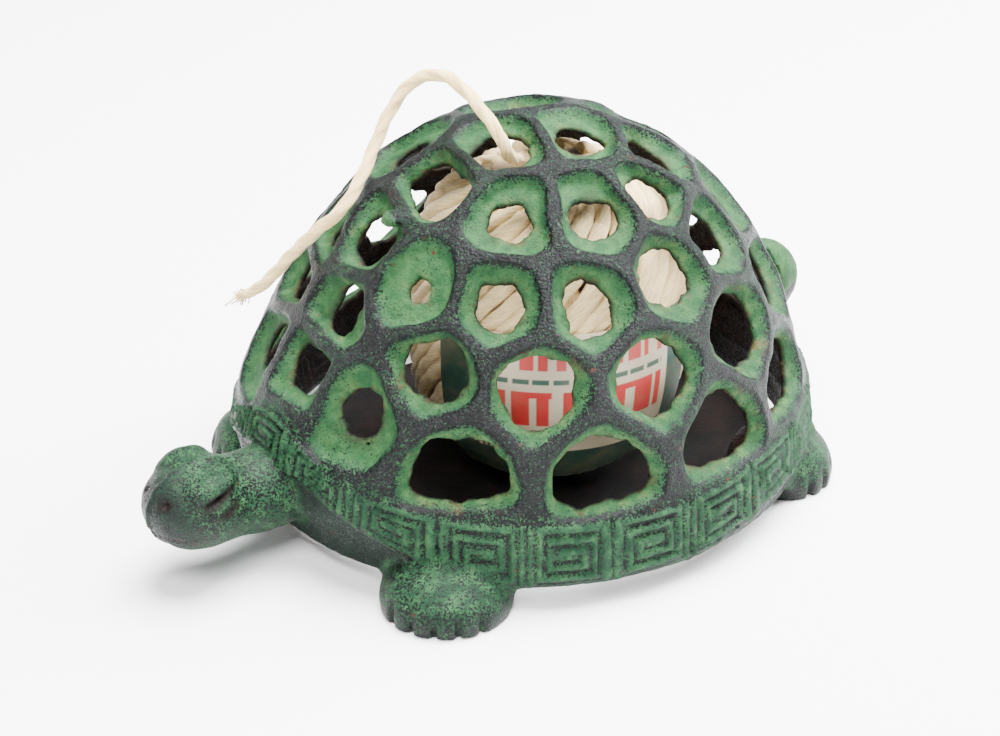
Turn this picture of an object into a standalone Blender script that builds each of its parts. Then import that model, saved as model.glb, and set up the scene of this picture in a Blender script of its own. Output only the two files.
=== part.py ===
"""Cast-iron turtle twine holder: pierced dome with head, feet and tail, and the ball of twine on its base plate.

Row frame: +Z up, the table at Z = 0, head towards -Y, tail towards +Y, the turtle's left side at +X.
All driving dimensions below are in millimetres and degrees.
"""

import math

import bpy
import bmesh
from mathutils import Matrix, Vector

MM = 0.001

# ---- shell ----
SHELL_X, SHELL_Y, SHELL_Z = 70.2, 74.9, 94.3  # half axes of the domed surface
SHELL_CY, SHELL_CZ = 11.5, 4.5  # its centre
WALL = 5.0
RIM_Z = 5.0  # height of the open lower edge above the table
BAND_LOW, BAND_TOP = 8.0, 23.0  # patterned band, at the sides
BAND_RISE_FRONT, BAND_RISE_BACK = 7.0, 3.5  # how much higher the band runs over the neck and tail
BAND_OUT = 0.9
TURNS = 48  # facets round the shell
CAVITY_TURNS = 32

# ---- pierced cells: (degrees round from the head towards the left, degrees up, hole width, hole height) ----
RIDGE = 4.6
BOWL_DEPTH = 3.0
MIDLINE_CELLS = [
    (0, 27, 12, 11),
    (2, 38, 8, 14),
    (0, 51, 12, 12),
    (10, 63, 15, 16),
    (24, 78, 14, 14),
    (180, 66, 12, 12),
    (180, 47, 14, 14),
    (180, 20, 24, 16),
]
LEFT_CELLS = [
    (19, 25, 10, 11),
    (42, 19, 26, 16),
    (71, 18, 26, 16),
    (100, 19, 24, 17),
    (126, 20, 22, 17),
    (152, 20, 22, 16),
    (34, 34, 15, 15),
    (58, 32, 18, 19),
    (85, 31, 19, 19),
    (114, 32, 18, 18),
    (140, 34, 16, 17),
    (166, 33, 16, 16),
    (24, 46, 5, 6),
    (48, 45, 11, 12),
    (72, 44, 11, 14),
    (98, 46, 13, 14),
    (122, 48, 11, 14),
    (148, 47, 12, 13),
    (48, 61, 11, 9),
    (82, 60, 13, 10),
    (113, 60, 11, 12),
    (116, 79, 11, 12),
    (139, 65, 12, 13),
]
RIGHT_MOVED = {(34, 34): (-25, 37), (48, 61): (-42, 64), (116, 79): (-104, 77)}  # cells the two mould halves differ in
CELL_SIDES = 10

# ---- head, tail, feet: (centre), (half axes) ----
SKULL = (0, -86.5, 21.5), (13.0, 13.6, 11.6)
NECK = (0, -68, 20.5), (12.6, 24, 11.8)
BROW = (7.2, -86.5, 28.6), (4.4, 6.5, 3.2)
TAIL = (0, 88.0, 31.0), (8.5, 12.1, 11.5)
FEET = {  # (centre), (half axes), degrees the toes point outwards; the right front foot was moulded nearer in
    "left_front": ((44.5, -44.5, 2.5), (16.3, 16.3, 11.0), 45),
    "right_front": ((-42.0, -42.0, 2.5), (16.3, 16.3, 11.0), 45),
    "left_rear": ((44.0, 60.0, 3.0), (14.0, 14.0, 12.0), 50),
    "right_rear": ((-44.0, 60.0, 3.0), (14.0, 14.0, 12.0), 50),
}
TOE_ANGLES = (-48, -24, 0, 24, 48)

# ---- loose base plate under the ball, cut away round the feet ----
BASE_HALF = 60.0, 64.0
BASE_T = 1.5
FOOT_ROOM = 1.2

# ---- twine ----
BALL_R, BALL_H, BALL_Y = 36.4, 84.5, 16.8
BALL_SQUARE = 2.6  # superellipse power of the barrel
EYE_R, EYE_DEPTH = 7.5, 16.0
LABEL_GAP, LABEL_T = 0.35, 0.4
LABEL_Z = 4.5, 52.5  # above the plate
LABEL_MID, LABEL_HALF = 66.0, 57.0  # degrees round from the head towards the left
CORD_D = 3.6
CORD_ROUTE = [  # by hand, from inside the ball's eye, out through a top hole and over the right shoulder
    (1.0, 18.0, 73.5),
    (1.0, 17.2, 80.0),
    (1.6, 14.4, 86.0),
    (3.4, 9.0, 88.9),
    (5.6, 3.2, 89.9),
    (8.0, -1.2, 93.6),
    (8.4, -3.6, 98.6),
    (4.8, -4.8, 102.6),
    (-2.6, -5.7, 106.8),
    (-9.6, -8.2, 109.6),
    (-15.4, -12.8, 107.2),
    (-17.4, -18.2, 100.4),
    (-16.2, -24.0, 92.4),
    (-13.2, -30.2, 86.2),
    (-12.2, -36.2, 80.4),
    (-17.0, -41.0, 73.8),
    (-24.6, -43.8, 65.2),
    (-31.0, -46.2, 57.2),
    (-37.0, -48.0, 51.4),
    (-42.6, -48.8, 48.0),
]


def clear_scene():
    for obj in list(bpy.data.objects):
        bpy.data.objects.remove(obj, do_unlink=True)


def make_collection(name, helper):
    group = bpy.data.collections.new(name)
    bpy.context.scene.collection.children.link(group)
    group.hide_render = helper
    return group


def paint(obj, name, colour, roughness, metallic=0.0):
    material = bpy.data.materials.new(name)
    material.use_nodes = True
    shader = material.node_tree.nodes["Principled BSDF"]
    shader.inputs["Base Color"].default_value = (*colour, 1.0)
    shader.inputs["Roughness"].default_value = roughness
    shader.inputs["Metallic"].default_value = metallic
    obj.data.materials.append(material)


def mesh_object(name, points, faces, group):
    """A closed mesh with outward faces; points in millimetres."""
    shape = bmesh.new()
    verts = [shape.verts.new(Vector(p) * MM) for p in points]
    for face in faces:
        shape.faces.new([verts[i] for i in face])
    bmesh.ops.recalc_face_normals(shape, faces=shape.faces)
    mesh = bpy.data.meshes.new(name)
    shape.to_mesh(mesh)
    shape.free()
    obj = bpy.data.objects.new(name, mesh)
    group.objects.link(obj)
    if group.hide_render:
        obj.hide_render = True
        obj.display_type = "WIRE"
    return obj


def stacked_rings(name, rings, group, tip=None):
    """A solid through equal rings, closed by a flat end, or by a point at its top end."""
    count = len(rings[0])
    points = [p for ring in rings for p in ring]
    faces = [list(range(count))]
    for level in range(len(rings) - 1):
        for i in range(count):
            a, b = level * count + i, level * count + (i + 1) % count
            faces.append((a, b, b + count, a + count))
    last = (len(rings) - 1) * count
    if tip is None:
        faces.append(list(range(last, last + count)))
    else:
        points.append(tip)
        faces += [(last + i, last + (i + 1) % count, len(points) - 1) for i in range(count)]
    return mesh_object(name, points, faces, group)


def ellipsoid(name, centre, half, group, segments=16, rings=10, turn=0.0):
    shape = bmesh.new()
    bmesh.ops.create_uvsphere(shape, u_segments=segments, v_segments=rings, radius=1.0)
    size = Matrix.Diagonal((*[h * MM for h in half], 1.0))
    place = Matrix.Translation(Vector(centre) * MM)
    shape.transform(place @ Matrix.Rotation(math.radians(turn), 4, "Z") @ size)
    mesh = bpy.data.meshes.new(name)
    shape.to_mesh(mesh)
    shape.free()
    obj = bpy.data.objects.new(name, mesh)
    group.objects.link(obj)
    if group.hide_render:
        obj.hide_render = True
        obj.display_type = "WIRE"
    return obj


def boolean(obj, operation, other):
    step = obj.modifiers.new(f"{operation.lower()}_{other.name}", "BOOLEAN")
    step.operation = operation
    step.solver = "EXACT"
    step.object = other


def joined(name, objects, group):
    """One helper object that holds several separate closed cutters."""
    shape = bmesh.new()
    for obj in objects:
        shape.from_mesh(obj.data)
        bpy.data.objects.remove(obj, do_unlink=True)
    mesh = bpy.data.meshes.new(name)
    shape.to_mesh(mesh)
    shape.free()
    obj = bpy.data.objects.new(name, mesh)
    group.objects.link(obj)
    obj.hide_render = True
    obj.display_type = "WIRE"
    return obj


# ---------------------------------------------------------------- shell surface


def rise(turn):
    """How far the band is lifted at this angle round from the head."""
    c = math.cos(turn)
    return BAND_RISE_FRONT * max(c, 0) ** 2 + BAND_RISE_BACK * max(-c, 0) ** 2


def on_shell(turn, z, out):
    """The point at this height, `out` millimetres outside the domed surface, level with it."""
    k = math.sqrt(max(0.0, 1 - ((z - SHELL_CZ) / SHELL_Z) ** 2))
    return (
        (SHELL_X * k + out) * math.sin(turn),
        SHELL_CY - (SHELL_Y * k + out) * math.cos(turn),
        z,
    )


def ring_at(height, out, steps=TURNS):
    turns = [2 * math.pi * i / steps for i in range(steps)]
    return [on_shell(t, height(t), out(t)) for t in turns]


def shell_outside(group):
    def tuck(t):
        return -3.0 - 3.5 * max(math.cos(t), 0) ** 2

    rings = [
        ring_at(lambda t: RIM_Z, tuck),
        ring_at(lambda t: BAND_LOW + rise(t) - 1.2, lambda t: -1.2),
        ring_at(lambda t: BAND_LOW + rise(t), lambda t: BAND_OUT),
        ring_at(lambda t: (BAND_LOW + BAND_TOP) / 2 + rise(t), lambda t: BAND_OUT),
        ring_at(lambda t: BAND_TOP + rise(t), lambda t: BAND_OUT),
        ring_at(lambda t: BAND_TOP + rise(t) + 0.8, lambda t: 0.0),
    ]
    top_z = SHELL_CZ + SHELL_Z
    steps = 8
    for i in range(1, steps):
        part = math.sin(math.pi / 2 * i / steps)

        def height(t, part=part):
            low = BAND_TOP + rise(t) + 0.8
            return low + (top_z - low) * part

        rings.append(ring_at(height, lambda t: 0.0))
    return stacked_rings("shell_outside", rings, group, tip=(0, SHELL_CY, top_z))


def shell_cavity(group):
    def lip(t):
        return -5.6 - 3.5 * max(math.cos(t), 0) ** 2

    inside = SHELL_Z - WALL
    rings = [ring_at(lambda t: -4.0, lip, CAVITY_TURNS), ring_at(lambda t: RIM_Z + 1.5, lip, CAVITY_TURNS)]
    low = BAND_LOW + 8.0
    steps = 6
    for i in range(steps):
        z = low + (SHELL_CZ + inside - low) * math.sin(math.pi / 2 * i / steps)
        k = math.sqrt(1 - ((z - SHELL_CZ) / inside) ** 2)
        turns = [2 * math.pi * j / CAVITY_TURNS for j in range(CAVITY_TURNS)]
        x, y = (SHELL_X - WALL) * k, (SHELL_Y - WALL) * k
        rings.append([(x * math.sin(t), SHELL_CY - y * math.cos(t), z) for t in turns])
    return stacked_rings("shell_cavity", rings, group, tip=(0, SHELL_CY, SHELL_CZ + inside))


# ---------------------------------------------------------------- cells


def dome_point(around, up):
    a, b = math.radians(around), math.radians(up)
    return Vector(
        (
            SHELL_X * math.cos(b) * math.sin(a),
            SHELL_CY - SHELL_Y * math.cos(b) * math.cos(a),
            SHELL_CZ + SHELL_Z * math.sin(b),
        )
    )


def dome_normal(point):
    return Vector(
        (point.x / SHELL_X**2, (point.y - SHELL_CY) / SHELL_Y**2, (point.z - SHELL_CZ) / SHELL_Z**2)
    ).normalized()


def all_cells():
    cells = list(MIDLINE_CELLS) + list(LEFT_CELLS)
    for around, up, wide, tall in LEFT_CELLS:
        around, up = RIGHT_MOVED.get((around, up), (-around, up))
        cells.append((around, up, wide, tall))
    return cells


def drop_to_dome(point, normal):
    """How far along -normal the domed surface lies below a point of the tangent plane."""
    o = Vector((point.x / SHELL_X, (point.y - SHELL_CY) / SHELL_Y, (point.z - SHELL_CZ) / SHELL_Z))
    d = Vector((-normal.x / SHELL_X, -normal.y / SHELL_Y, -normal.z / SHELL_Z))
    a, b, c = d.dot(d), 2 * o.dot(d), o.dot(o) - 1
    return (-b - math.sqrt(max(0.0, b * b - 4 * a * c))) / (2 * a)


def cell_cutter(index, cells, centres, group):
    """A bowl as wide as the cell and a hole through its floor."""
    _, _, wide, tall = cells[index]
    centre = centres[index]
    n = dome_normal(centre)
    v = (Vector((0, 0, 1)) - n * n.z).normalized()
    if n.z > 0.97:
        v = (Vector((0, 1, 0)) - n * n.y).normalized()
    u = v.cross(n)
    turn = math.atan2(centre.x / SHELL_X, -(centre.y - SHELL_CY) / SHELL_Y)
    rings = [[], [], [], []]
    for k in range(CELL_SIDES):
        angle = 2 * math.pi * k / CELL_SIDES
        cos, sin = math.cos(angle), math.sin(angle)
        limits = [17.0]
        for j, other in enumerate(centres):
            gap = other - centre
            if j == index or gap.length > 55:
                continue
            flat = Vector((gap.dot(u), gap.dot(v)))
            facing = (flat.x * cos + flat.y * sin) / flat.length
            if facing > 0.05:
                limits.append((gap.length - RIDGE) / 2 / facing)
        if sin < -0.05 and centre.z < 55:
            limits.append((centre.z - BAND_TOP - rise(turn) - 1.6) / max(v.z, 0.4) / -sin)
        reach = sum(r**-7.0 for r in limits) ** (-1 / 7.0)
        hole = 1 / (abs(2 * cos / wide) ** 2.4 + abs(2 * sin / tall) ** 2.4) ** (1 / 2.4)
        hole = min(hole, reach * 0.8)
        floor = max(0.82 * reach, hole + 0.5)
        for ring, radius, level in zip(
            rings,
            (reach + 0.8, floor, hole + 0.2, hole),
            (2.5, -BOWL_DEPTH * 0.7, -BOWL_DEPTH, -WALL - 3.5),
        ):
            flat_point = centre + (u * cos + v * sin) * radius
            ring.append(flat_point + n * (level - drop_to_dome(flat_point, n)))
    return stacked_rings(f"cell_{index:02d}", rings, group)


# ---------------------------------------------------------------- limbs


def foot_parts(name, helpers):
    (x, y, z), half, out = FEET[name]
    sole = ellipsoid(f"{name}_foot", (x, y, z), half, helpers, 20, 12)
    side, front = math.copysign(1, x), math.copysign(1, y)
    grooves = []
    for angle in TOE_ANGLES:
        way = math.radians(out + angle * 0.9)
        dx, dy = side * math.sin(way), front * math.cos(way)
        at = (x + dx * half[0], y + dy * half[1], 2.0)
        facing = math.degrees(math.atan2(dy, dx))
        grooves.append(ellipsoid("groove", at, (3.2, 1.1, 9.5), helpers, 6, 6, facing))
    return sole, grooves


def build_casting(objects, helpers):
    body = shell_outside(objects)
    body.name = "turtle_casting"
    outside = [
        ellipsoid("skull", *SKULL, helpers, 24, 14),
        ellipsoid("neck", *NECK, helpers, 20, 12),
        ellipsoid("tail", *TAIL, helpers, 18, 12),
    ]
    (x, y, z), half = BROW
    outside += [ellipsoid(f"brow_{s}", (s * x, y, z), half, helpers, 12, 8) for s in (-1, 1)]
    for shape in outside:
        boolean(body, "UNION", shape)
    boolean(body, "DIFFERENCE", shell_cavity(helpers))
    grooves = []
    for name in FEET:
        sole, cuts = foot_parts(name, helpers)
        boolean(body, "UNION", sole)
        grooves += cuts
    cells = all_cells()
    centres = [dome_point(c[0], c[1]) for c in cells]
    cutters = [cell_cutter(i, cells, centres, helpers) for i in range(len(cells))]
    boolean(body, "DIFFERENCE", joined("cells", cutters, helpers))
    boolean(body, "DIFFERENCE", joined("toe_grooves", grooves, helpers))
    face = []
    for s in (-1, 1):
        face.append(ellipsoid("eye", (s * 12.8, -88.0, 24.2), (2.0, 4.4, 0.9), helpers, 8, 6))
        face.append(ellipsoid("nostril", (s * 3.6, -99.3, 24.0), (1.3, 1.3, 1.0), helpers, 6, 4))
    boolean(body, "DIFFERENCE", joined("face_marks", face, helpers))
    boolean(body, "DIFFERENCE", ellipsoid("mouth", (0, -100.5, 17.6), (12.5, 9.0, 0.7), helpers, 16, 4))
    table = bmesh.new()
    bmesh.ops.create_cube(table, size=1.0)
    table.transform(Matrix.Translation((0, 0, -0.02)) @ Matrix.Diagonal((0.3, 0.3, 0.04, 1)))
    mesh = bpy.data.meshes.new("table")
    table.to_mesh(mesh)
    table.free()
    under = bpy.data.objects.new("table", mesh)
    helpers.objects.link(under)
    under.hide_render = True
    under.display_type = "WIRE"
    boolean(body, "DIFFERENCE", under)
    paint(body, "verdigris_paint", (0.12, 0.28, 0.16), 0.7)
    return body


# ---------------------------------------------------------------- base plate


def disc(name, centre, half, low, high, group, segments):
    """An upright elliptical cylinder between two heights."""
    rings = []
    for z in (low, high):
        turns = [2 * math.pi * i / segments for i in range(segments)]
        rings.append([(centre[0] + half[0] * math.cos(t), centre[1] + half[1] * math.sin(t), z) for t in turns])
    return stacked_rings(name, rings, group)


def build_base(objects, helpers):
    plate = disc("base_plate", (0.0, SHELL_CY), BASE_HALF, 0.0, BASE_T, objects, 64)
    rooms = []
    for (x, y, _), half, _ in FEET.values():
        room = half[0] + FOOT_ROOM
        rooms.append(disc("room", (x, y), (room, room), -BASE_T, 2 * BASE_T, helpers, 32))
    boolean(plate, "DIFFERENCE", joined("foot_rooms", rooms, helpers))
    paint(plate, "bare_iron", (0.06, 0.04, 0.03), 0.8, 0.4)


# ---------------------------------------------------------------- twine


def barrel_radius(z, grow=0.0):
    half = BALL_H / 2
    part = min(1.0, abs((z - half) / (half + grow)))
    return (BALL_R + grow) * (1 - part**BALL_SQUARE) ** (1 / BALL_SQUARE)


def turned(name, profile, group, degrees=360.0, start=0.0, steps=40):
    """A profile of (radius, height) points turned about the ball's upright axis."""
    mesh = bpy.data.meshes.new(name)
    points = [(r * MM, 0.0, z * MM) for r, z in profile]
    mesh.from_pydata(points, [(i, i + 1) for i in range(len(points) - 1)], [])
    obj = bpy.data.objects.new(name, mesh)
    obj.location = (0.0, BALL_Y * MM, BASE_T * MM)
    obj.rotation_euler.z = math.radians(start)
    group.objects.link(obj)
    screw = obj.modifiers.new("turn", "SCREW")
    screw.angle = math.radians(degrees)
    screw.steps = steps
    screw.render_steps = steps
    screw.use_merge_vertices = True
    screw.merge_threshold = 0.00001
    screw.use_smooth_shade = True
    return obj


def build_ball(objects):
    eye = [(0.0, BALL_H - EYE_DEPTH), (EYE_R * 0.75, BALL_H - EYE_DEPTH), (EYE_R - 0.6, BALL_H - 3.0)]
    eye.append((EYE_R, BALL_H - 1.0))
    steps = 18
    barrel = []
    for i in range(1, steps):
        z = BALL_H / 2 + BALL_H / 2 * math.cos(math.pi * i / steps)
        if z < BALL_H / 2 or barrel_radius(z) > EYE_R + 1.5:
            barrel.append((barrel_radius(z), z))
    foot = [(barrel_radius(0.12), 0.0), (0.0, 0.0)]
    ball = turned("twine_ball", eye + barrel + foot, objects)
    paint(ball, "cotton", (0.78, 0.70, 0.53), 0.9)


def build_label(objects):
    """A paper patch that follows the ball's barrel."""
    low, high = LABEL_Z
    rows = 8
    heights = [high - (high - low) * r / rows for r in range(rows + 1)]
    profile = [(barrel_radius(z, LABEL_GAP), z) for z in heights]
    start = LABEL_MID - 90.0 - LABEL_HALF
    label = turned("ball_label", profile, objects, 2 * LABEL_HALF, start, 16)
    paper = label.modifiers.new("paper", "SOLIDIFY")
    paper.thickness = LABEL_T * MM
    paper.offset = 1.0
    paint(label, "label_paper", (0.75, 0.66, 0.50), 0.8)


def smooth_route(route, spacing):
    """Points at an even spacing along a Catmull-Rom curve through the route's own points."""
    ends = [2 * Vector(route[0]) - Vector(route[1])]
    knots = ends + [Vector(p) for p in route] + [2 * Vector(route[-1]) - Vector(route[-2])]
    fine = []
    for a, b, c, d in zip(knots, knots[1:], knots[2:], knots[3:]):
        for i in range(20):
            t = i / 20
            bend = (c - a) * t + (2 * a - 5 * b + 4 * c - d) * t**2 + (3 * b - a - 3 * c + d) * t**3
            fine.append(b + bend / 2)
    fine.append(knots[-2])
    along = [0.0]
    for p, q in zip(fine, fine[1:]):
        along.append(along[-1] + (q - p).length)
    count = round(along[-1] / spacing)
    spots = []
    for i in range(count + 1):
        want = along[-1] * i / count
        k = min(range(len(along)), key=lambda j: abs(along[j] - want))
        spots.append(fine[k])
    return spots


def build_cord(objects):
    curve = bpy.data.curves.new("twine_free_end", "CURVE")
    curve.dimensions = "3D"
    curve.bevel_depth = CORD_D / 2 * MM
    curve.bevel_resolution = 2
    curve.use_fill_caps = True
    route = smooth_route(CORD_ROUTE, 2 * CORD_D)
    line = curve.splines.new("POLY")
    line.points.add(len(route) - 1)
    for point, place in zip(line.points, route):
        point.co = (*(place * MM), 1.0)
    cord = bpy.data.objects.new("twine_free_end", curve)
    objects.objects.link(cord)
    paint(cord, "cotton_end", (0.80, 0.72, 0.55), 0.9)


def main():
    clear_scene()
    objects = make_collection("turtle_twine_holder", False)
    helpers = make_collection("cutters", True)
    build_casting(objects, helpers)
    build_base(objects, helpers)
    build_ball(objects)
    build_label(objects)
    build_cord(objects)


main()
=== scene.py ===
"""Looks of the pierced cast-iron turtle twine holder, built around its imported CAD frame.

The casting is one surface: a distance-like field (dome, cells, patterned band, head, feet, tail) is
sampled on a grid, meshed, pulled back onto the field and thinned, most where it is hidden inside. The
twine is wound from twisted strands, and the label is a thin curved sheet. Lengths inside the shape
functions are millimetres.
"""

import math

import bpy
import numpy as np
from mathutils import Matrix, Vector

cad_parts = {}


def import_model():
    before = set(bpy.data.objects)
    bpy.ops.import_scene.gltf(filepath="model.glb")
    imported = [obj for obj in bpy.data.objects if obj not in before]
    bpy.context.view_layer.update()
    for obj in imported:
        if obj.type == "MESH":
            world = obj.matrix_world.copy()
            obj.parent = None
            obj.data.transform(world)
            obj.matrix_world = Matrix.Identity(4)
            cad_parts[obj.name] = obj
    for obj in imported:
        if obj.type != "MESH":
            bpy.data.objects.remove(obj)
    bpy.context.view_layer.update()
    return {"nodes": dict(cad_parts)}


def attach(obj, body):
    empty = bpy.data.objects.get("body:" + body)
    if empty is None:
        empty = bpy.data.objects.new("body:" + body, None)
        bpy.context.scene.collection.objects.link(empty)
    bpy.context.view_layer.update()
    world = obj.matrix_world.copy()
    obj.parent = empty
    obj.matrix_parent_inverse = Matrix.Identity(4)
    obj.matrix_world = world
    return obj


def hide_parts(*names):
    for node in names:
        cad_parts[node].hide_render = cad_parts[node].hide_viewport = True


MM = 0.001

# ---- the casting: the CAD's shell, rim, head, tail and feet, with detail that only this model has ----
SHELL = np.array([70.2, 74.9, 94.3])
CENTRE = np.array([0.0, 11.5, 4.5])
WALL = 5.0
RIM_Z = 5.0
BAND_LOW, BAND_TOP = 8.0, 23.0
BAND_OUT = 0.9
BAND_SUNK, LINE_OUT = 1.0, 1.15  # the key pattern's grooves, and how far its lines stand above them
SKIRT_IN_RIM, SKIRT_IN_TOP = 2.4, 0.9  # how far the skirt is set in at the rim, and just under the band
RIM_ROUND = 1.5
LINE_ABOVE_BAND = 0.35
RIDGE = 3.4  # between two bowls
BOWL_DEPTH = 3.6
MISMATCH = 1.1  # step where the mould's halves didn't meet, left of the midline at the front
FLASH = 0.45  # the mould line down the head and neck
PROW = 6.5  # how far the band juts forward over the neck

# ---- the key pattern round the band ----
FRET_PANELS = 22
FRET_PITCH = 2.5
FRET_PHASE = 0.60
BAND_ROUND = 462.0  # the band's length round the shell
POST = 2.1  # plain upright between two panels
HALF_PANEL = 6.6  # half a panel's height

# ---- cells ----
CELL_FAR = 24.0  # a cell changes nothing further away than this
NEIGHBOUR_FAR = 55.0
BOWL_WIDEST = 17.0
WALL_POWER = 7.0  # how squarely a bowl follows its walls
HOLE_POWER = 2.4  # how squarely a hole fills its width and height

# (degrees round from the head towards the left, degrees up, hole width, hole height)
MIDLINE_CELLS = [
    (0, 27, 12, 11),
    (2, 38, 8, 14),
    (-3, 51, 12, 12),
    (8, 65, 19, 17),
    (24, 78, 14, 14),
    (180, 66, 12, 12),
    (180, 47, 14, 14),
    (180, 20, 24, 16),
]
LEFT_CELLS = [
    (19, 25, 10, 11),
    (42, 19, 26, 16),
    (71, 18, 26, 16),
    (100, 19, 24, 17),
    (126, 20, 22, 17),
    (152, 20, 22, 16),
    (34, 34, 15, 15),
    (58, 32, 18, 19),
    (85, 31, 19, 19),
    (114, 32, 18, 18),
    (140, 34, 16, 17),
    (166, 33, 16, 16),
    (24, 46, 5, 6),
    (48, 45, 11, 12),
    (72, 44, 11, 14),
    (98, 46, 13, 14),
    (122, 48, 11, 14),
    (148, 47, 12, 13),
    (48, 61, 11, 9),
    (82, 60, 13, 10),
    (113, 60, 11, 12),
    (116, 79, 11, 12),
    (139, 65, 12, 13),
]
RIGHT_MOVED = {(34, 34): (-25, 37), (48, 61): (-42, 64), (116, 79): (-104, 77)}

SKULL = (0, -86.5, 21.1), (13.0, 13.6, 11.0)
NECK = (0, -68, 19.0), (11.2, 24, 10.4)
BROW = (7.2, -86.5, 28.6), (4.4, 6.5, 3.2)
BROW_TILT = 8.0
FACE_MARKS = [  # eye, crease below it and nostril, on one side: centre, half axes, degrees tilted
    ((12.0, -85.6, 27.4), (2.4, 5.0, 0.8), 20.0),
    ((13.0, -83.6, 23.8), (1.4, 3.0, 0.5), 16.0),
    ((5.0, -98.0, 26.2), (1.5, 1.5, 1.0), 0.0),
]
MOUTH = (0, -100.3, 17.4), (12.5, 9.0, 0.35)
MOUTH_THIN = 0.25
TAIL = (0, 88.0, 31.0), (8.5, 12.1, 11.5)
FEET = [  # centre, half axes, degrees the toes point outwards
    ((44.5, -44.5, 2.5), (16.3, 16.3, 11.0), 45),
    ((-42.0, -42.0, 2.5), (16.3, 16.3, 11.0), 45),
    ((44.0, 60.0, 3.0), (14.0, 14.0, 12.0), 50),
    ((-44.0, 60.0, 3.0), (14.0, 14.0, 12.0), 50),
]
TOE_ANGLES = (-48, -24, 0, 24, 48)
TOE_SPREAD = 0.9
TOE_GROOVE = (2.6, 0.8, 7.5)
TOE_GROOVE_OUT, TOE_GROOVE_Z = 0.9, 0.8  # a groove's centre: how far past the foot's half axes, and height
SPATTER = [  # beads of iron left on the mould line above the neck: centre, half axes
    ((3.2, -31.0, 82.4), (3.0, 3.2, 1.9)),
    ((0.2, -34.4, 79.4), (1.8, 1.8, 1.3)),
]

# ---- the twine, as in the CAD ----
BALL_R, BALL_H, BALL_Y = 36.4, 84.5, 16.8
BASE_T = 1.5
BALL_SQUARE = 2.6
WINDINGS = [(54, 2.3, 2.1, 0.0), (48, -1.2, 4.6, 0.3)]  # strands, radians swept, inset, first strand's place
STRAND_R = 2.0
CORE_SIDES, CORE_RINGS = 48, 30
CORE_LOW, CORE_HIGH = 1.0, 80.0
CORE_INSET, CORE_LEAST = 6.0, 4.0
LABEL_GAP, LABEL_T = 0.35, 0.4
LABEL_Z = 4.5, 52.5
LABEL_MID, LABEL_HALF = 66.0, 57.0
LABEL_ACROSS, LABEL_UP = 210, 136  # points across and up the sheet
CORD_D = 3.6
CORD_SLIM = 0.80  # the drawn cord's diameter as a share of that
FIBRES = 34
CORD_ROUTE = [
    (1.0, 18.0, 73.5),
    (1.0, 17.2, 80.0),
    (1.6, 14.4, 86.0),
    (3.4, 9.0, 88.9),
    (5.6, 3.2, 89.9),
    (8.0, -1.2, 93.6),
    (8.4, -3.6, 98.6),
    (4.8, -4.8, 102.6),
    (-2.6, -5.7, 106.8),
    (-9.6, -8.2, 109.6),
    (-15.4, -12.8, 107.2),
    (-17.4, -18.2, 100.4),
    (-16.2, -24.0, 92.4),
    (-13.2, -30.2, 86.2),
    (-12.2, -36.2, 80.4),
    (-17.0, -41.0, 73.8),
    (-24.6, -43.8, 65.2),
    (-31.0, -46.2, 57.2),
    (-37.0, -48.0, 51.4),
    (-42.6, -48.8, 48.0),
]

# ---- meshing ----
GRID_STEP = 0.9
MAX_TRIANGLES = 190000
GRID_LOW, GRID_HIGH = (-73.0, -103.0, -1.8), (73.0, 103.0, 101.5)
SLAB = 24  # grid planes done at once


# ---------------------------------------------------------------- camera, stage, light


def add_camera():
    data = bpy.data.cameras.new("camera")
    data.lens = 90.03
    data.sensor_width = 36.0
    camera = bpy.data.objects.new("camera", data)
    bpy.context.scene.collection.objects.link(camera)
    place = Vector((0.4627, -0.3204, 0.3366))
    target = Vector((0.0012, 0.0013, 0.0308))
    camera.location = place
    camera.rotation_euler = (target - place).to_track_quat("-Z", "Y").to_euler()
    bpy.context.scene.camera = camera


def area_light(name, place, target, size, power, colour=(1, 1, 1)):
    data = bpy.data.lights.new(name, "AREA")
    data.shape = "DISK"
    data.size = size
    data.energy = power
    data.color = colour
    lamp = bpy.data.objects.new(name, data)
    bpy.context.scene.collection.objects.link(lamp)
    lamp.location = place
    lamp.rotation_euler = (Vector(target) - Vector(place)).to_track_quat("-Z", "Y").to_euler()


def add_studio():
    area_light("overhead", (0.0, 0.20, 1.05), (0, 0, 0.04), 0.9, 96.0)
    area_light("back_right", (0.15, 0.80, 0.62), (0, 0, 0.05), 0.5, 30.0, (0.93, 0.96, 1.0))
    area_light("front_high", (0.50, -0.45, 0.95), (0, 0, 0.04), 0.5, 22.0)
    world = bpy.data.worlds.new("studio")
    world.use_nodes = True
    back = world.node_tree.nodes["Background"]
    back.inputs["Color"].default_value = (1.0, 1.0, 1.0, 1.0)
    back.inputs["Strength"].default_value = 0.65
    bpy.context.scene.world = world


def add_floor():
    mesh = bpy.data.meshes.new("floor")
    reach = 3.0
    corners = [(-reach, -reach, 0), (reach, -reach, 0), (reach, reach, 0), (-reach, reach, 0)]
    mesh.from_pydata(corners, [], [(0, 1, 2, 3)])
    floor = bpy.data.objects.new("floor", mesh)
    bpy.context.scene.collection.objects.link(floor)
    paint = Shader("floor_paper")
    paint.set("Base Color", (0.93, 0.93, 0.935, 1.0))
    paint.set("Roughness", 0.9)
    paint.set("Specular IOR Level", 0.1)
    mesh.materials.append(paint.material)


# ---------------------------------------------------------------- shader helper


def rgb(red, green, blue):
    """A display colour, 0 to 255, as the linear colour that a shader takes."""
    out = []
    for value in (red, green, blue):
        part = value / 255.0
        out.append(part / 12.92 if part <= 0.04045 else ((part + 0.055) / 1.055) ** 2.4)
    return (*out, 1.0)


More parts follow.
